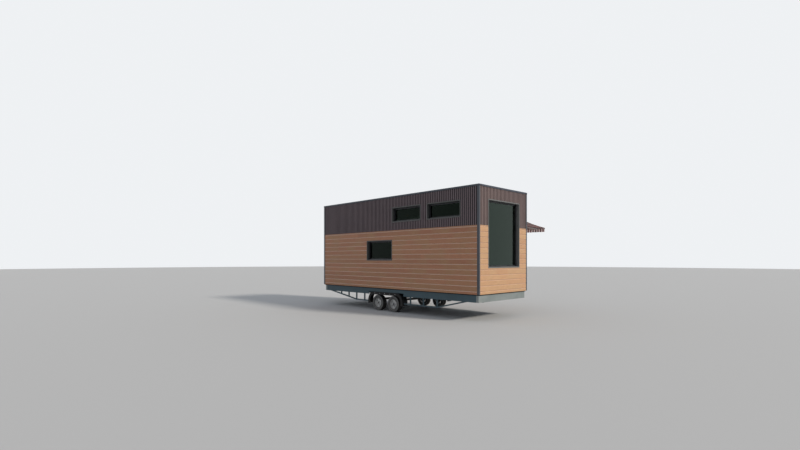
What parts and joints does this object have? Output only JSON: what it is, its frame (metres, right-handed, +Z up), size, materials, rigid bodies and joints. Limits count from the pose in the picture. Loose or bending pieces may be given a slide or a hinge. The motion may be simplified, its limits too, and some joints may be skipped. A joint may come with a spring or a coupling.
{
  "type": "tiny house on wheels",
  "caption": "Flat-roofed tiny house with board and ribbed metal cladding, recessed windows and an awning, on a tandem-axle road trailer with a drawbar.",
  "frame": {"origin": "on the ground below the middle of the overall footprint, awning and drawbar included", "axes": "+X to the rear end wall with the tall window, -X to the drawbar, +Y to the door and awning side, +Z up"},
  "size_m": [8.574, 4.004, 3.795],
  "materials": {
    "boards": "oiled brown boards, satin",
    "ribbed_metal": "dark brown-grey coated sheet, matt",
    "wall_lining": "plain pale board lining",
    "floor": "plain wooden floor",
    "roof_membrane": "dark roofing membrane, matt",
    "dark_trim": "anthracite coated, satin",
    "window_frame": "anthracite coated aluminium, satin",
    "window_glass": "tinted double glazing, clear gloss",
    "door_fitting": "brushed",
    "awning_metal": "pale coated aluminium, satin",
    "awning_cloth": "red and white striped awning cloth",
    "chassis_paint": "blue-grey paint, satin",
    "axle_steel": "black paint, satin",
    "mudguard": "black, satin",
    "coupling_steel": "zinc plated",
    "tyre": "matt",
    "wheel_steel": "grey wheel paint, satin"
  },
  "bodies": {
    "house": {"left_boards": "boards", "right_boards": "boards", "rear_boards": "boards", "front_boards": "boards", "left_ribbed_sheet": "ribbed_metal", "right_ribbed_sheet": "ribbed_metal", "rear_ribbed_sheet": "ribbed_metal", "front_ribbed_sheet": "ribbed_metal", "left_wall": "wall_lining", "right_wall": "wall_lining", "rear_wall": "wall_lining", "front_wall": "wall_lining", "floor_deck": "floor", "roof_deck": "roof_membrane", "roof_coping": "dark_trim", "corner_trims": "dark_trim", "left_window_frames": "window_frame", "right_window_frames": "window_frame", "rear_window_frames": "window_frame", "door_frame": "window_frame", "door_leaf": "window_frame", "left_window_glass": "window_glass", "right_window_glass": "window_glass", "rear_window_glass": "window_glass", "door_glass": "window_glass", "door_handle": "door_fitting", "awning_cassette": "awning_metal", "awning_front_bar": "awning_metal", "awning_arms": "awning_metal", "awning_fabric": "awning_cloth", "awning_valance": "awning_cloth", "side_rails": "chassis_paint", "end_rails": "chassis_paint", "cross_members": "chassis_paint", "axle_bearers": "chassis_paint", "lattice_girders": "chassis_paint", "drawbar_arms": "chassis_paint", "drawbar_shank": "chassis_paint", "front_axle": "axle_steel", "rear_axle": "axle_steel", "mudguards": "mudguard", "coupling_head": "coupling_steel"},
    "left_front_wheel": {"tyre_left_front": "tyre", "wheel_left_front": "wheel_steel"},
    "left_rear_wheel": {"tyre_left_rear": "tyre", "wheel_left_rear": "wheel_steel"},
    "right_front_wheel": {"tyre_right_front": "tyre", "wheel_right_front": "wheel_steel"},
    "right_rear_wheel": {"tyre_right_rear": "tyre", "wheel_right_rear": "wheel_steel"}
  },
  "joints": [
    {"name": "left_front_wheel_spin", "type": "hinge", "parent": "house", "child": "left_front_wheel", "pos_m": [0.0705, -1.8605, 0.264], "axis": [0, 1, 0], "continuous": true},
    {"name": "left_rear_wheel_spin", "type": "hinge", "parent": "house", "child": "left_rear_wheel", "pos_m": [0.8255, -1.8605, 0.264], "axis": [0, 1, 0], "continuous": true},
    {"name": "right_front_wheel_spin", "type": "hinge", "parent": "house", "child": "right_front_wheel", "pos_m": [0.0705, 0.3645, 0.264], "axis": [0, 1, 0], "continuous": true},
    {"name": "right_rear_wheel_spin", "type": "hinge", "parent": "house", "child": "right_rear_wheel", "pos_m": [0.8255, 0.3645, 0.264], "axis": [0, 1, 0], "continuous": true}
  ]
}
